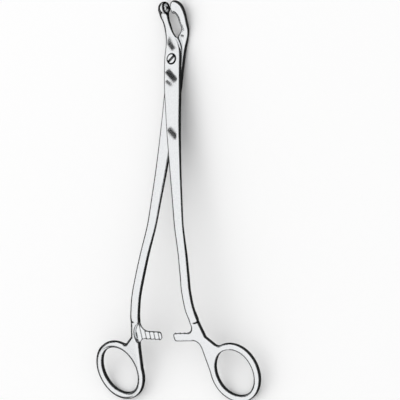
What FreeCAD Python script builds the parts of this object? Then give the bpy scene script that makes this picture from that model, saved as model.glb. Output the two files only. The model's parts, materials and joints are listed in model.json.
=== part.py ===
"""Ring-handled biopsy forceps with a lapped screw joint, cup jaws and a ratchet.

The two halves are drawn closed, in a frame with the pivot along Z, the jaws up Y and the
screw head to the front, then opened about the pivot and laid down on a table.
A point on a half is given by x, its place across, and s, its distance up the middle sheet
from the pivot. The sheet curves forward under the jaws and back under the handles.
"""
import FreeCAD, Part
import math
import os

Vector = FreeCAD.Vector
os.makedirs("parts", exist_ok=True)

# Opening, in degrees
open_angle = 9.2          # between the halves as they lie, from jaws shut
jaw_skew = 3.5            # lean of the plane in which the jaws meet

# Middle sheet
jaw_curve_start = 8.0
jaw_curve_radius = 46.0
handle_bend_start = 122.0
handle_bend_radius = 40.0
handle_bend = 28.0        # degrees

# Lap joint
lap_thickness = 3.2
lap_gap = 0.05            # half of the running gap between the halves
joint_width = 9.6
joint_corner = 0.55

# Pivot screw
screw_head_diameter = 5.6
screw_head_depth = 1.3
screw_head_proud = 0.25
screw_slot_width = 0.8
screw_slot_depth = 0.8
screw_slot_angle = 48.0
journal_diameter = 3.6
journal_clearance = 0.03
thread_diameter = 3.0
screw_end_proud = 0.15
cut_past = 0.5            # of cutters beyond the surfaces that they open

# Shanks
shank_width = 5.0
shank_end_across = 7.9
shank_lean = 6.3          # degrees, of a shank's end from the middle line
shank_thickness = 4.0
rim_radius = 1.3
lap_end = 87.0            # below this the shanks stand side by side
level_start = 106.0       # near here both shanks reach the middle sheet
first_step = 1.5          # between the first sections of a half, at its jaw
station_step = 5.5        # between its later sections
step_growth = 1.2
round_share = 0.46        # corner radius of a nearly round section, of its thickness

# Sections of the lap, as shares: of the way across and along to its end, of the lift of the
# lap's middle, of its widening to joint_width, of its thickness, and from square to round
lap_sections = ((0.0, 0.0, 1.0, 1.0, 1.0, 0.0),
                (-0.032, 0.138, 1.0, 1.0, 1.0, 0.0),
                (-0.006, 0.368, 1.0, 0.70, 1.0, 0.0),
                (0.108, 0.655, 1.0, 0.39, 1.0, 0.6),
                (0.24, 0.862, 1.0, 0.20, 1.0, 0.81),
                (0.33, 1.0, 1.0, 0.11, 1.0, 0.92))

# Jaws
jaw_reach = 28.3          # along the middle sheet, to the centre of the cups
front_arm_width = 3.8
rear_arm_width = 4.2
head_radius = 3.5
head_depth = 1.5          # centre of the front head behind its face
arm_end_step = 0.4        # radius of the front arm's end, less than the head's
arm_end_inset = 0.7       # its centre from the head's, away from the face
arm_end_drop = 0.8        # its end below the centre of the head
collar_diameter = 6.1
collar_height = 0.75
collar_root = 0.4         # sunk in the head
cup_diameter = 5.2
cup_wall_depth = 0.9      # straight part of a cup, before its round floor
rear_face_diameter = 7.0
face_gap = 0.05           # left between the shut jaws, at each face

# Sections of the jaw arms, as those of the lap, across and along as shares of jaw_reach
front_jaw_sections = ((-0.157, 0.873, 0.0, 0.207, 1.56, 1.0),
                      (-0.131, 0.724, 0.15, 0.0, 1.22, 1.0),
                      (-0.088, 0.587, 0.73, 0.052, 1.125, 0.95),
                      (-0.062, 0.502, 1.09, 0.138, 1.03, 0.98),
                      (-0.021, 0.375, 1.06, 0.448, 1.015, 0.58),
                      (0.011, 0.177, 1.0, 0.862, 1.0, 0.0))
rear_jaw_sections = ((0.004, 0.990, 0.0, 0.46, 2.08, 1.0),
                     (0.067, 0.926, 0.0, 0.26, 1.75, 1.0),
                     (0.112, 0.820, 0.0, 0.11, 1.5, 1.0),
                     (0.138, 0.707, 0.12, 0.019, 1.344, 0.945),
                     (0.148, 0.615, 0.55, 0.0, 1.156, 1.0),
                     (0.124, 0.505, 1.09, 0.148, 1.03, 0.88),
                     (0.078, 0.375, 1.06, 0.407, 1.015, 0.58),
                     (0.028, 0.177, 1.0, 0.741, 1.0, 0.0))

# Finger rings and necks
ring_across = 24.05       # centre of a ring from the middle line
ring_along = 30.3         # centre of a ring below the end of the bend
ring_hole_width = 23.4
ring_hole_length = 26.8
ring_band = 3.4
ring_tilt = 7.2           # degrees
neck_flare = 4.1          # outer edge from the shank's middle, where it turns to the ring
neck_turn = 9.0           # that place below the end of the bend
neck_waist = 15.0         # narrowest place of the neck below the end of the bend
waist_inset = 0.3         # inner edge there, from the shank's middle
neck_fillet = 3.2

# Ratchet
ratchet_along = 8.2       # root of a ratchet arm below the end of the bend
ratchet_height = 4.7
ratchet_overlap = 14.6    # of the two arms when the jaws are shut
ratchet_tilt = 3.0        # degrees, tip towards the jaws
ratchet_face = 1.0        # face between the teeth, from the middle sheet
ratchet_tip_radius = 1.5
ratchet_fillet = 4.0
ratchet_relief = 1.2      # how far the teeth run on past the shank's middle
mill_radius = 9.0         # round end of the milled face
tooth_pitch = 2.9
tooth_height = 0.9
tooth_flank = 0.25        # steep side of a tooth
tooth_count = 6

lift = lap_thickness / 2 + lap_gap
bend_end = handle_bend_start + handle_bend_radius * math.radians(handle_bend)


def sheet(s):
    """Place up the middle sheet (y, z) and its slope, in radians, s from the pivot."""
    if s > jaw_curve_start:
        turn = (s - jaw_curve_start) / jaw_curve_radius
        return (jaw_curve_start + jaw_curve_radius * math.sin(turn),
                jaw_curve_radius * (1 - math.cos(turn)), turn)
    below = -s - handle_bend_start
    if below <= 0:
        return s, 0.0, 0.0
    turn = min(below / handle_bend_radius, math.radians(handle_bend))
    straight = below - turn * handle_bend_radius
    y = -handle_bend_start - handle_bend_radius * math.sin(turn) - straight * math.cos(turn)
    z = -handle_bend_radius * (1 - math.cos(turn)) - straight * math.sin(turn)
    return y, z, turn


def out_of_sheet(s):
    turn = sheet(s)[2]
    return Vector(0, -math.sin(turn), math.cos(turn))


def on_sheet(x, s, out=0.0):
    y, z, _ = sheet(s)
    return Vector(x, y, z) + out_of_sheet(s) * out


def section(centre, across, out, width, thickness, corner):
    """Rounded rectangle, as a wire of four arcs joined by four straights."""
    r = min(corner, round_share * width, round_share * thickness)
    half_w, half_t = width / 2, thickness / 2
    knee = r * (1 - math.sqrt(0.5))
    edges = []
    for su, sv in ((1, 1), (-1, 1), (-1, -1), (1, -1)):
        places = [(su * half_w, sv * (half_t - r)),
                  (su * (half_w - knee), sv * (half_t - knee)),
                  (su * (half_w - r), sv * half_t)]
        if su * sv < 0:
            places.reverse()
        arc = [centre + across * u + out * v for u, v in places]
        if edges:
            edges.append(Part.makeLine(edges[-1].Vertexes[-1].Point, arc[0]))
        edges.append(Part.Arc(*arc).toShape())
    edges.append(Part.makeLine(edges[-1].Vertexes[-1].Point, edges[0].Vertexes[0].Point))
    return Part.Wire(edges)


def fair(stations):
    """Stations at growing steps on smooth curves through the given ones, with no overshoot."""
    points = [on_sheet(*station[:3]) for station in stations]
    reach = [0.0]
    for a, b in zip(points, points[1:]):
        reach.append(reach[-1] + a.distanceToPoint(b))
    steps = [b - a for a, b in zip(reach, reach[1:])]
    rates = [[(b - a) / step for a, b in zip(one, two)]
             for one, two, step in zip(stations, stations[1:], steps)]
    slopes = [rates[0]]
    for before, after in zip(rates, rates[1:]):
        slopes.append([2 * p * q / (p + q) if p * q > 0 else 0.0 for p, q in zip(before, after)])
    slopes.append(rates[-1])
    places, gap = [0.0], first_step
    while places[-1] < reach[-1]:
        places.append(places[-1] + gap)
        gap = min(gap * step_growth, station_step)
    result = []
    for place in places:
        at = place * reach[-1] / places[-1]
        i = max(k for k in range(len(steps)) if reach[k] <= at)
        t, step = (at - reach[i]) / steps[i], steps[i]
        result.append(tuple(
            (1 + 2 * t) * (1 - t) ** 2 * a + t * (1 - t) ** 2 * step * slope_a
            + t * t * (3 - 2 * t) * b - t * t * (1 - t) * step * slope_b
            for a, b, slope_a, slope_b in zip(stations[i], stations[i + 1], slopes[i], slopes[i + 1])))
    return result


def loft(stations, side, first_normal=None):
    """Solid through stations of (x, s, out, width, thickness, corner), square to their line."""
    lean, bend = math.radians(shank_lean), math.radians(handle_bend)
    last_normal = Vector(side * math.sin(lean), -math.cos(lean) * math.cos(bend),
                         -math.cos(lean) * math.sin(bend))
    stations = fair(stations)
    points = [on_sheet(*station[:3]) for station in stations]
    wires = []
    for i, (_, s, _, width, thickness, corner) in enumerate(stations):
        along = (points[min(i + 1, len(points) - 1)] - points[max(i - 1, 0)]).normalize()
        if i == 0 and first_normal:
            along = first_normal
        if i == len(points) - 1:
            along = last_normal
        across = along.cross(out_of_sheet(s)).normalize()
        wires.append(section(points[i], across, across.cross(along), width, thickness, corner))
    return Part.makeLoft(wires, True, False)


def placed(sections, across, along, narrow, side):
    """Stations from sections given as shares: front half side 1, rear half side -1."""
    stations = []
    for x, s, out, widening, thick, rounding in sections:
        thickness = thick * lap_thickness
        corner = joint_corner + rounding * (round_share * thickness - joint_corner)
        stations.append((x * across, s * along, side * out * lift,
                         narrow + widening * (joint_width - narrow), thickness, corner))
    return stations


def shank_stations(side):
    """Lap and shank, down to the end of the bend."""
    corner = (rim_radius + round_share * lap_thickness) / 2
    slope = math.tan(math.radians(shank_lean))
    end = side * shank_end_across
    return placed(lap_sections, end, -lap_end, shank_width, side) + [
        (0.557 * end, -level_start, 0.3 * side * lift, shank_width, 0.95 * shank_thickness, corner),
        (0.696 * end, 2 - handle_bend_start, 0.0, shank_width, shank_thickness, corner),
        (0.848 * end, -0.93 * bend_end, 0.0, shank_width, shank_thickness, corner),
        (end - side * slope, 1 - bend_end, 0.0, shank_width, shank_thickness, rim_radius),
        (end, -bend_end, 0.0, shank_width, shank_thickness, rim_radius)]


def jaw_face():
    """Centre of the plane in which the jaws meet, and its normal towards the rear jaw."""
    y, z, _ = sheet(jaw_reach)
    lean = math.radians(jaw_skew)
    return Vector(-y * math.sin(lean), y * math.cos(lean), z), Vector(math.cos(lean), math.sin(lean), 0)


def cup(centre, into):
    """Hollow of one cup: a short bore with a round floor."""
    radius = cup_diameter / 2
    bore = Part.makeCylinder(radius, cup_wall_depth + cut_past, centre - into * cut_past, into)
    return bore.fuse(Part.makeSphere(radius, centre + into * cup_wall_depth))


def front_jaw_and_shank():
    """Arm that ends in a ball with a collar round its cup."""
    face, normal = jaw_face()
    head = face - normal * head_depth
    width = 2 * (head_radius - arm_end_step)
    stations = [(head.x - arm_end_inset, jaw_reach - arm_end_drop, 0.0, width, width,
                 round_share * width)]
    stations += placed(front_jaw_sections, jaw_reach, jaw_reach, front_arm_width, 1)
    back = face - normal * collar_height
    arm = loft(stations + shank_stations(1), 1)
    arm = arm.cut(Part.makeCylinder(head_radius + arm_end_step, 2 * head_radius, back, normal))
    rim = math.degrees(math.asin((head_depth - collar_height) / head_radius))
    ball = Part.makeSphere(head_radius, head, normal, -90, rim, 360)
    collar = Part.makeCylinder(collar_diameter / 2, collar_height + collar_root - face_gap,
                               back - normal * collar_root, normal)
    return ball.fuse([arm, collar]).cut(cup(face, normal * -1))


def rear_jaw_and_shank():
    """Arm that crooks round to face the other jaw."""
    face, normal = jaw_face()
    start = face + normal * face_gap
    stations = [(start.x, jaw_reach, 0.0, rear_face_diameter, rear_face_diameter,
                 round_share * rear_face_diameter)]
    stations += placed(rear_jaw_sections, jaw_reach, jaw_reach, rear_arm_width, -1)
    return loft(stations + shank_stations(-1), -1, normal).cut(cup(face, normal))


def prism(points):
    """Plate of the shank's thickness about z = 0 with the given corners."""
    corners = [Vector(x, y, -shank_thickness / 2) for x, y in points]
    return Part.Face(Part.makePolygon(corners + corners[:1])).extrude(Vector(0, 0, shank_thickness))


def ring_place(angle, margin):
    """Place on the oval that lies margin outside a finger ring's hole."""
    turn, lean = math.radians(angle), math.radians(ring_tilt)
    x = (ring_hole_width / 2 + margin) * math.cos(turn)
    y = (ring_hole_length / 2 + margin) * math.sin(turn)
    return (ring_across + x * math.cos(lean) + y * math.sin(lean),
            -ring_along - x * math.sin(lean) + y * math.cos(lean))


def oval(margin):
    """Oval plate of four arcs, margin outside a finger ring's hole."""
    half_w, half_l = ring_hole_width / 2, ring_hole_length / 2
    small = (half_w + half_w * half_w / half_l) / 2
    end_centre = half_l - small
    large = (half_w ** 2 + end_centre ** 2 - small ** 2) / (2 * (half_w - small))
    side_centre = large - half_w
    turn = math.atan2(end_centre, side_centre)
    x = (large + margin) * math.cos(turn) - side_centre
    y = (large + margin) * math.sin(turn)
    ways = [(x, -y), (half_w + margin, 0), (x, y), (0, half_l + margin), (-x, y),
            (-half_w - margin, 0), (-x, -y), (0, -half_l - margin), (x, -y)]
    points = [Vector(*way) for way in ways]
    edge = Part.Wire([Part.Arc(*points[i:i + 3]).toShape() for i in (0, 2, 4, 6)])
    plate = Part.Face(edge).extrude(Vector(0, 0, shank_thickness))
    plate.rotate(Vector(), Vector(0, 0, 1), -ring_tilt)
    plate.translate(Vector(ring_across, -ring_along, -shank_thickness / 2))
    return plate


def uprights_near(solid, places):
    """The upright edge nearest to each place (x, y)."""
    upright = [e for e in solid.Edges
               if abs(e.Vertexes[0].Point.z - e.Vertexes[-1].Point.z) > shank_thickness / 2]
    return [min(upright, key=lambda e: math.hypot(e.Vertexes[0].X - x, e.Vertexes[0].Y - y))
            for x, y in places]


def handle(side):
    """Neck, ratchet arm and finger ring of one half, drawn flat: x across, y up the sheet."""
    lean = math.radians(shank_lean)
    half = Vector(math.cos(lean), -math.sin(lean), 0) * (shank_width / 2)
    neck = prism([(shank_end_across - half.x, -half.y), (shank_end_across + half.x, half.y),
                  (shank_end_across + neck_flare, -neck_turn),
                  ring_place(120, ring_band / 2), ring_place(185, ring_band / 2),
                  ring_place(180, ring_band), (shank_end_across + waist_inset, -neck_waist)])
    tip = -ratchet_overlap / 2
    rise = math.tan(math.radians(ratchet_tilt)) * (shank_end_across - tip)
    top, foot = -ratchet_along + ratchet_height / 2, -ratchet_along - ratchet_height / 2
    arm = prism([(shank_end_across, top), (tip, top + rise), (tip, foot + rise), (shank_end_across, foot)])
    plate = neck.fuse([arm, oval(ring_band)]).removeSplitter()
    roots = uprights_near(plate, [(shank_end_across, top), (shank_end_across, foot)])
    plate = plate.makeFillet(ratchet_fillet, roots)
    plate = plate.makeFillet(neck_fillet, uprights_near(plate, [ring_place(120, ring_band)]))
    tips = uprights_near(plate, [(tip, top + rise), (tip, foot + rise)])
    plate = plate.makeFillet(ratchet_tip_radius, tips)
    plate = plate.cut(oval(0))
    rims = [e for e in plate.Edges
            if abs(abs(e.CenterOfMass.z) - shank_thickness / 2) < 1e-6
            and math.hypot(e.CenterOfMass.x - shank_end_across, e.CenterOfMass.y) > shank_width / 4]
    plate = plate.makeFillet(rim_radius, rims).cut(ratchet_mill())
    if side < 0:
        plate.rotate(Vector(), Vector(0, 1, 0), 180)
    plate.rotate(Vector(), Vector(1, 0, 0), handle_bend)
    plate.translate(on_sheet(0, -bend_end))
    return plate


def ratchet_mill():
    """What milling takes off the rear of the ratchet arm: saw teeth, with a round end in the shank."""
    end = shank_end_across + ratchet_relief
    start = end - tooth_count * tooth_pitch
    saw = [(start, -shank_thickness), (start, ratchet_face)]
    for n in range(1, tooth_count + 1):
        crest = start + n * tooth_pitch
        saw += [(crest - tooth_flank, ratchet_face - tooth_height), (crest, ratchet_face)]
    saw.append((end, -shank_thickness))
    corners = [Vector(x, -mill_radius, z) for x, z in saw]
    teeth = Part.Face(Part.makePolygon(corners + corners[:1])).extrude(Vector(0, 2 * mill_radius, 0))
    low = Vector(0, 0, -2 * shank_thickness)
    sweep = Part.makeCylinder(mill_radius, 3 * shank_thickness, low + Vector(end - mill_radius, 0, 0))
    run = Part.makeBox(end - mill_radius - start, 2 * mill_radius, 3 * shank_thickness,
                       low + Vector(start, -mill_radius, 0))
    mill = teeth.common(sweep.fuse(run))
    mill.rotate(Vector(shank_end_across, 0, 0), Vector(0, 0, 1), -ratchet_tilt)
    mill.translate(Vector(0, -ratchet_along, 0))
    return mill


def screw_bore():
    """Hole through the front half, for the journal and the sunk head."""
    face = lap_gap + lap_thickness
    hole = Part.makeCylinder(journal_diameter / 2 + journal_clearance, face + cut_past)
    seat = face + screw_head_proud - screw_head_depth
    sink = Part.makeCylinder(screw_head_diameter / 2 + journal_clearance, face, Vector(0, 0, seat))
    return hole.fuse(sink)


def thread_hole():
    """Hole through the rear half, filled by the screw's end."""
    depth = lap_gap + lap_thickness + cut_past
    return Part.makeCylinder(thread_diameter / 2, depth, Vector(0, 0, -depth))


def pivot_screw():
    """Slotted head, journal that the front half turns on, and an end set in the rear half."""
    top = lap_gap + lap_thickness + screw_head_proud
    head = Part.makeCylinder(screw_head_diameter / 2, screw_head_depth, Vector(0, 0, top - screw_head_depth))
    rim = [e for e in head.Edges if abs(e.CenterOfMass.z - top) < 1e-6 and len(e.Vertexes) == 1]
    head = head.makeFillet(screw_head_proud, rim)
    journal = Part.makeCylinder(journal_diameter / 2, top - screw_head_depth + lap_gap, Vector(0, 0, -lap_gap))
    end = lap_gap + lap_thickness + screw_end_proud
    thread = Part.makeCylinder(thread_diameter / 2, end, Vector(0, 0, -end))
    slot = Part.makeBox(2 * screw_head_diameter, screw_slot_width, screw_slot_depth + cut_past,
                        Vector(-screw_head_diameter, -screw_slot_width / 2, top - screw_slot_depth))
    slot.rotate(Vector(), Vector(0, 0, 1), screw_slot_angle)
    return head.fuse([journal, thread]).removeSplitter().cut(slot)


def resting_place(shapes):
    """Tilt about X, and shift, that lay the open forceps on z = 0 about the origin."""
    points = [p for shape in shapes for p in shape.tessellate(0.05)[0]]
    hull = []
    for p in sorted(points, key=lambda p: (p.y, p.z)):
        while len(hull) > 1 and ((hull[-1].y - hull[-2].y) * (p.z - hull[-2].z)
                                 <= (hull[-1].z - hull[-2].z) * (p.y - hull[-2].y)):
            hull.pop()
        hull.append(p)
    weight = sum(shape.Volume for shape in shapes)
    balance = sum(shape.Solids[0].CenterOfMass.y * shape.Volume for shape in shapes) / weight
    low, high = next((a, b) for a, b in zip(hull, hull[1:]) if a.y <= balance <= b.y)
    tilt = -math.degrees(math.atan2(high.z - low.z, high.y - low.y))
    turned = [FreeCAD.Rotation(Vector(1, 0, 0), tilt).multVec(p) for p in points]
    spans = [(min(axis), max(axis)) for axis in zip(*turned)]
    return tilt, Vector(-sum(spans[0]) / 2, -sum(spans[1]) / 2, -spans[2][0])


def main():
    front = front_jaw_and_shank().fuse(handle(1)).cut(screw_bore())
    rear = rear_jaw_and_shank().fuse(handle(-1)).cut(thread_hole())
    screw = pivot_screw()
    for shape, side in ((front, 1), (rear, -1), (screw, -1)):
        shape.rotate(Vector(), Vector(0, 0, 1), side * open_angle / 2)
    nodes = {"front_half": front, "rear_half": rear, "pivot_screw": screw}
    tilt, shift = resting_place(list(nodes.values()))
    for name, shape in nodes.items():
        shape.rotate(Vector(), Vector(1, 0, 0), tilt)
        shape.translate(shift)
        print(name, shape.isValid(), len(shape.Solids), round(shape.Volume, 1))
        shape.exportStep(f"parts/{name}.step")
    axis = FreeCAD.Rotation(Vector(1, 0, 0), tilt).multVec(Vector(0, 0, 1))
    print("tilt", round(tilt, 3), "pivot", shift, "axis", axis)


main()
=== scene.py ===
"""Polished steel biopsy forceps lying partly open on a pale table."""
import json
import math

import bmesh
import bpy
from mathutils import Matrix, Vector
from mathutils.bvhtree import BVHTree


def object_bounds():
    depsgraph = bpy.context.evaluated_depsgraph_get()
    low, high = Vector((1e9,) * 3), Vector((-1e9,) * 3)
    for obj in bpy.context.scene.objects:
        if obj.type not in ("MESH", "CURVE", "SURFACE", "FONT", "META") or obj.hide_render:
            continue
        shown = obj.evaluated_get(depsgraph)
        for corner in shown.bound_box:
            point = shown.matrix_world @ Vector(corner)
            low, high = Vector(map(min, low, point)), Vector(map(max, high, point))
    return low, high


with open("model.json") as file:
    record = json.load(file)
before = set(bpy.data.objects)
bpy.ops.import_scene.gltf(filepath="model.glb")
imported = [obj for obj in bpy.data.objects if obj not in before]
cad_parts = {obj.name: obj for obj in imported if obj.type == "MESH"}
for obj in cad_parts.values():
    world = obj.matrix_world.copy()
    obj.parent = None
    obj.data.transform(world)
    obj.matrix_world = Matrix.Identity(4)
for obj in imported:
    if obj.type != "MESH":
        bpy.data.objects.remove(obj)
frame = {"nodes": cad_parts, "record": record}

MM = 0.001
cad_low, cad_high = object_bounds()
pivot = next(j for j in frame["record"]["behaviour"]["joints"] if j["name"] == "pivot")
PIVOT = Vector(pivot["pos_m"])
FRONT = Vector(pivot["axis"]).normalized()      # out of the lap joint's front face
RIGHT = Vector((1.0, 0.0, 0.0))
UP = FRONT.cross(RIGHT)                         # along the shanks, towards the jaws

# Camera: the picture's viewing angle and scale
PICTURE_PIXELS = 400
PIXEL = 0.533 * MM
PIVOT_PIXEL = (174.75, 59.5)
CAMERA_AZIMUTH = math.radians(35)
CAMERA_PITCH = math.radians(5.65)
CAMERA_DISTANCE = 2.6
CAMERA_REACH = 100.0
SENSOR_WIDTH = 36.0

# Studio
WHITE = "#FFFFFF"
CARD_COLOUR = "#050505"
MATT = 0.9                                      # roughness of the floor and the cards
FLOOR_SIZE = 60.0
TABLE_CARD_SIZE = (0.5, 0.6)
TABLE_CARD_LIFT = 0.3 * MM
LEFT_CARD_DISTANCE = 0.6
LEFT_CARD_LENGTH = 2.0
LEFT_CARD_HEIGHT = 0.45
KEY_PLACE = Vector((-1.1, 0.9, 1.4))            # from the middle of the forceps
KEY_SIZE = (1.6, 1.6)
KEY_POWER = 5.0
AMBIENT = 0.92                                  # light of the surroundings, of which 1 is white

# Dark bars that the front half mirrors: middle, length and width of each image in pixels, and its
# slant in degrees
BARS = (((171.0, 44.0), 7.0, 4.5, -42), ((171.3, 75.0), 14.0, 6.0, -42),
        ((168.5, 82.3), 7.0, 3.0, -35), ((172.5, 133.0), 13.0, 5.5, -42))
BAR_DISTANCE = 20 * MM
BAR_COLOUR = "#2A2A2A"

# Steel
STEEL_COLOUR = "#F2F3F4"
STEEL_DARK_COLOUR = "#E2E4E6"
STEEL_ROUGHNESS = 0.09
TURNED_ROUGHNESS = 0.12
POLISH_LINE = 0.12 * MM                         # real lines are finer and would not show
POLISH_DEPTH = 0.02 * MM
POLISH_STRENGTH = 0.06
LONG_LINES = (1.0, 0.02, 1.0)                   # drawn out along the shanks
EVEN_LINES = (1.0, 1.0, 1.0)
SMUDGE_SIZE = 9 * MM
SMUDGE_DULLNESS = 1.5                           # roughness of a smudge, of clean steel's

# Painted shade in crevices, along edges and in the line round the screw's head
CREVICE_SHADE_COLOUR = "#101112"
CREVICE_REACH = (1.0 * MM, 2.6 * MM)            # along the shanks, and at the jaws
JAW_START = (94 * MM, 98 * MM)                  # along Y, where the second reach takes over
CREVICE_OPENNESS = (0.35, 0.85)                 # full painted shade, and none
EDGE_SHADE_COLOUR = "#1C1D1F"
EDGE_REACH = 0.9 * MM
EDGE_THICKNESS = (0.55, 0.8)                    # full painted shade, and none
BROKEN_EDGE = 1.1 * MM                          # rounding that the polishing wheel leaves on edges
SEAT_RADIUS = 2.6 * MM
SEAT_LINE = (0.2 * MM, 0.4 * MM)                # full painted shade, and none, from that radius
OCCLUSION_SAMPLES = 12
BEVEL_SAMPLES = 8


def linear(hex_colour):
    """Linear RGBA of an sRGB hex colour."""
    values = [int(hex_colour[i:i + 2], 16) / 255 for i in (1, 3, 5)]
    return [v / 12.92 if v <= 0.04045 else ((v + 0.055) / 1.055) ** 2.4 for v in values] + [1.0]


def add_node(tree, kind, settings=None, links=None):
    """Add a node, set its properties or input values, and link its inputs, by name or place."""
    node = tree.nodes.new(kind)
    for name, value in (settings or {}).items():
        if isinstance(name, int) or name in node.inputs:
            node.inputs[name].default_value = value
        else:
            setattr(node, name, value)
    for name, source in (links or {}).items():
        tree.links.new(source, node.inputs[name])
    return node


def new_material(name):
    material = bpy.data.materials.new(name)
    material.use_nodes = True
    material.node_tree.nodes.clear()
    return material, material.node_tree


def painted_crevice_shade(tree, place, surface):
    """Surface colour with painted shade where steel stands close by, as in corners and cups."""
    parts = add_node(tree, "ShaderNodeSeparateXYZ", links={"Vector": place})
    reach = add_node(tree, "ShaderNodeMapRange",
                     {"From Min": JAW_START[0], "From Max": JAW_START[1],
                      "To Min": CREVICE_REACH[0], "To Max": CREVICE_REACH[1]},
                     {"Value": parts.outputs["Y"]})
    openness = add_node(tree, "ShaderNodeAmbientOcclusion", {"samples": OCCLUSION_SAMPLES},
                        {"Distance": reach.outputs["Result"]})
    unshaded = add_node(tree, "ShaderNodeMapRange",
                     {"From Min": CREVICE_OPENNESS[0], "From Max": CREVICE_OPENNESS[1]},
                     {"Value": openness.outputs["AO"]})
    colour = add_node(tree, "ShaderNodeMix", {"data_type": "RGBA", 6: linear(CREVICE_SHADE_COLOUR)},
                      {"Factor": unshaded.outputs["Result"], 7: surface})
    return colour.outputs[2]


def edges(tree, surface):
    """Surface colour with painted shade along sharp edges, where the steel is thin: teeth, cup rims and
    slot.
    """
    thickness = add_node(tree, "ShaderNodeAmbientOcclusion",
                         {"Distance": EDGE_REACH, "samples": OCCLUSION_SAMPLES, "inside": True})
    unshaded = add_node(tree, "ShaderNodeMapRange",
                     {"From Min": EDGE_THICKNESS[0], "From Max": EDGE_THICKNESS[1]},
                     {"Value": thickness.outputs["AO"]})
    colour = add_node(tree, "ShaderNodeMix", {"data_type": "RGBA", 6: linear(EDGE_SHADE_COLOUR)},
                      {"Factor": unshaded.outputs["Result"], 7: surface})
    return colour.outputs[2]


def painted_seat_shade(tree, place, surface):
    """Surface colour with a painted shade line round the screw's head, in front of the lap only."""
    arm = add_node(tree, "ShaderNodeVectorMath", {"operation": "SUBTRACT", 1: PIVOT}, {0: place})
    moment = add_node(tree, "ShaderNodeVectorMath", {"operation": "CROSS_PRODUCT", 1: FRONT},
                      {0: arm.outputs["Vector"]})
    radius = add_node(tree, "ShaderNodeVectorMath", {"operation": "LENGTH"},
                      {0: moment.outputs["Vector"]})
    off_line = add_node(tree, "ShaderNodeMath", {"operation": "SUBTRACT", 1: SEAT_RADIUS},
                        {0: radius.outputs["Value"]})
    distance = add_node(tree, "ShaderNodeMath", {"operation": "ABSOLUTE"},
                        {0: off_line.outputs["Value"]})
    unshaded = add_node(tree, "ShaderNodeMapRange", {"From Min": SEAT_LINE[0], "From Max": SEAT_LINE[1]},
                     {"Value": distance.outputs["Value"]})
    height = add_node(tree, "ShaderNodeVectorMath", {"operation": "DOT_PRODUCT", 1: FRONT},
                      {0: arm.outputs["Vector"]})
    behind = add_node(tree, "ShaderNodeMath", {"operation": "LESS_THAN", 1: 0.0},
                      {0: height.outputs["Value"]})
    off_seat = add_node(tree, "ShaderNodeMath", {"operation": "MAXIMUM"},
                        {0: unshaded.outputs["Result"], 1: behind.outputs["Value"]})
    colour = add_node(tree, "ShaderNodeMix", {"data_type": "RGBA", 6: linear(CREVICE_SHADE_COLOUR)},
                      {"Factor": off_seat.outputs["Value"], 7: surface})
    return colour.outputs[2]


def polished_steel(name, roughness, line_scale):
    """Polished stainless steel: bright, with faint lines of the polishing wheel along it.

    The lines blur reflections a little along one way, and handling leaves soft dull patches.
    The wheel also breaks the edges, so they mirror the dark surroundings as a thin dark line."""
    material, tree = new_material(name)
    place = add_node(tree, "ShaderNodeTexCoord").outputs["Object"]
    stretched = add_node(tree, "ShaderNodeMapping", {"Scale": line_scale}, {"Vector": place})
    lines = add_node(tree, "ShaderNodeTexNoise", {"Scale": 1 / POLISH_LINE, "Detail": 2.0},
                     {"Vector": stretched.outputs["Vector"]})
    smudges = add_node(tree, "ShaderNodeTexNoise", {"Scale": 1 / SMUDGE_SIZE, "Detail": 3.0},
                       {"Vector": place})
    dullness = add_node(tree, "ShaderNodeMapRange",
                        {"From Min": 0.35, "From Max": 0.7,
                         "To Min": roughness, "To Max": roughness * SMUDGE_DULLNESS},
                        {"Value": smudges.outputs["Fac"]})
    tint = add_node(tree, "ShaderNodeMapRange", {"From Min": 0.3, "From Max": 0.7},
                    {"Value": lines.outputs["Fac"]})
    steel = add_node(tree, "ShaderNodeMix",
                     {"data_type": "RGBA", 6: linear(STEEL_DARK_COLOUR), 7: linear(STEEL_COLOUR)},
                     {"Factor": tint.outputs["Result"]})
    # painted shade in crevices and cups, along thin edges and in a line round the screw's head
    colour = painted_seat_shade(tree, place, edges(tree, painted_crevice_shade(tree, place, steel.outputs[2])))
    rounding = add_node(tree, "ShaderNodeBevel", {"Radius": BROKEN_EDGE, "samples": BEVEL_SAMPLES})
    bump = add_node(tree, "ShaderNodeBump", {"Strength": POLISH_STRENGTH, "Distance": POLISH_DEPTH},
                    {"Height": lines.outputs["Fac"], "Normal": rounding.outputs["Normal"]})
    shader = add_node(tree, "ShaderNodeBsdfPrincipled", {"Metallic": 1.0},
                      {"Base Color": colour, "Roughness": dullness.outputs["Result"],
                       "Normal": bump.outputs["Normal"]})
    add_node(tree, "ShaderNodeOutputMaterial", links={"Surface": shader.outputs["BSDF"]})
    return material


def matt_paper(name, hex_colour):
    """Matt paper of the floor and the cards, with no pattern and no shine."""
    material, tree = new_material(name)
    shader = add_node(tree, "ShaderNodeBsdfPrincipled",
                      {"Base Color": linear(hex_colour), "Roughness": MATT})
    add_node(tree, "ShaderNodeOutputMaterial", links={"Surface": shader.outputs["BSDF"]})
    return material


def dress(node, material):
    """Give a carried-over node its material."""
    piece = frame["nodes"][node]
    piece.data.materials.clear()
    piece.data.materials.append(material)


def flat(name, centre, size, normal, side, material):
    """Flat rectangle facing along normal, with its width along side."""
    normal = Vector(normal).normalized()
    across = (Vector(side) - normal * normal.dot(side)).normalized()
    turn = Matrix((across, normal.cross(across), normal)).transposed().to_4x4()
    shape = bmesh.new()
    bmesh.ops.create_grid(shape, x_segments=1, y_segments=1, size=0.5,
                          matrix=Matrix.Translation(centre) @ turn @ Matrix.Diagonal((*size, 1.0, 1.0)))
    mesh = bpy.data.meshes.new(name)
    shape.to_mesh(mesh)
    shape.free()
    mesh.materials.append(material)
    obj = bpy.data.objects.new(name, mesh)
    bpy.context.scene.collection.objects.link(obj)
    return obj


def card(name, centre, size, normal, side, material):
    """Studio card that only reflections see."""
    obj = flat(name, centre, size, normal, side, material)
    obj.visible_camera = False
    obj.visible_diffuse = False
    obj.visible_shadow = False


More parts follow.
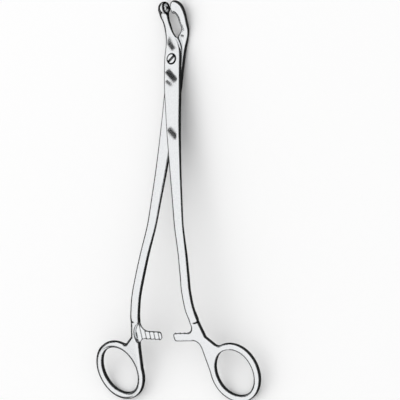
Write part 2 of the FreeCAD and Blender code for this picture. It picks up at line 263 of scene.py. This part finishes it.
def softbox(name, centre, size, towards, power):
    """Soft light that the steel doesn't mirror, so that its faces keep the even surroundings."""
    data = bpy.data.lights.new(name, "AREA")
    data.shape = "RECTANGLE"
    data.size, data.size_y = size
    data.energy = power
    data.color = linear(WHITE)[:3]
    light = bpy.data.objects.new(name, data)
    light.location = centre
    light.visible_glossy = False
    light.rotation_euler = (Vector(towards) - Vector(centre)).to_track_quat("-Z", "Y").to_euler()
    bpy.context.scene.collection.objects.link(light)


def view_axes():
    """Right, up and back of the camera."""
    facing = FRONT * math.cos(CAMERA_PITCH) - UP * math.sin(CAMERA_PITCH)
    up = UP * math.cos(CAMERA_PITCH) + FRONT * math.sin(CAMERA_PITCH)
    back = RIGHT * math.sin(CAMERA_AZIMUTH) + facing * math.cos(CAMERA_AZIMUTH)
    return up.cross(back), up, back


def surroundings():
    """White for whatever is seen or mirrored, and a little less as light."""
    world = bpy.data.worlds.new("studio")
    bpy.context.scene.world = world
    world.use_nodes = True
    tree = world.node_tree
    tree.nodes.clear()
    path = add_node(tree, "ShaderNodeLightPath")
    straight = add_node(tree, "ShaderNodeMath", {"operation": "MAXIMUM"},
                        {0: path.outputs["Is Camera Ray"], 1: path.outputs["Is Glossy Ray"]})
    seen = add_node(tree, "ShaderNodeMath", {"operation": "MAXIMUM"},
                    {0: straight.outputs["Value"], 1: path.outputs["Is Transmission Ray"]})
    strength = add_node(tree, "ShaderNodeMapRange", {"To Min": AMBIENT, "To Max": 1.0},
                        {"Value": seen.outputs["Value"]})
    light = add_node(tree, "ShaderNodeBackground", {"Color": linear(WHITE)},
                     {"Strength": strength.outputs["Result"]})
    add_node(tree, "ShaderNodeOutputWorld", links={"Surface": light.outputs["Background"]})


def mirrored_bars():
    """Bars that stand where the camera sees them mirrored in the front half."""
    grey = matt_paper("grey_bar", BAR_COLOUR)
    right, up, back = view_axes()
    face = BVHTree.FromObject(frame["nodes"]["front_half"], bpy.context.evaluated_depsgraph_get())
    for n, (pixel, length, width, slant) in enumerate(BARS):
        along = RIGHT * math.cos(math.radians(slant)) + UP * math.sin(math.radians(slant))
        eye = PIVOT + (right * (pixel[0] - PIVOT_PIXEL[0]) - up * (pixel[1] - PIVOT_PIXEL[1])) * PIXEL
        place, normal, _, _ = face.ray_cast(eye + back, -back)
        mirrored = normal * (2 * back.dot(normal)) - back
        card(f"bar_{n + 1}", place + mirrored * BAR_DISTANCE, (length * PIXEL, width * PIXEL),
             mirrored, along, grey)


def studio():
    """Pale floor, white surroundings, one large soft light from the upper left and dark cards."""
    surroundings()
    flat("floor", (0, 0, 0), (FLOOR_SIZE, FLOOR_SIZE), (0, 0, 1), (1, 0, 0),
         matt_paper("white_table", WHITE))
    middle = (cad_low + cad_high) / 2
    softbox("key", middle + KEY_PLACE, KEY_SIZE, middle, KEY_POWER)
    dark = matt_paper("black_card", CARD_COLOUR)
    card("table_card", (middle.x, middle.y, TABLE_CARD_LIFT), TABLE_CARD_SIZE, (0, 0, 1), (1, 0, 0), dark)
    card("left_card", (middle.x - LEFT_CARD_DISTANCE, middle.y, LEFT_CARD_HEIGHT / 2),
         (LEFT_CARD_LENGTH, LEFT_CARD_HEIGHT), (1, 0, 0), (0, 1, 0), dark)
    mirrored_bars()


def camera():
    """Long lens from the right of the front face, with the handles nearer to it than the jaws."""
    right, up, back = view_axes()
    middle = PICTURE_PIXELS / 2
    target = (PIVOT + right * ((middle - PIVOT_PIXEL[0]) * PIXEL)
              - up * ((middle - PIVOT_PIXEL[1]) * PIXEL))
    data = bpy.data.cameras.new("camera")
    data.sensor_width = SENSOR_WIDTH
    data.lens = SENSOR_WIDTH * CAMERA_DISTANCE / (PICTURE_PIXELS * PIXEL)
    data.clip_end = CAMERA_REACH
    eye = bpy.data.objects.new("camera", data)
    turn = Matrix((right, up, back)).transposed().to_4x4()
    eye.matrix_world = Matrix.Translation(target + back * CAMERA_DISTANCE) @ turn
    bpy.context.scene.collection.objects.link(eye)
    bpy.context.scene.camera = eye


def main():
    steel = polished_steel("polished_stainless_steel", STEEL_ROUGHNESS, LONG_LINES)
    dress("front_half", steel)
    dress("rear_half", steel)
    dress("pivot_screw", polished_steel("turned_stainless_steel", TURNED_ROUGHNESS, EVEN_LINES))
    studio()
    camera()
    bpy.context.scene.view_settings.view_transform = "Standard"


main()
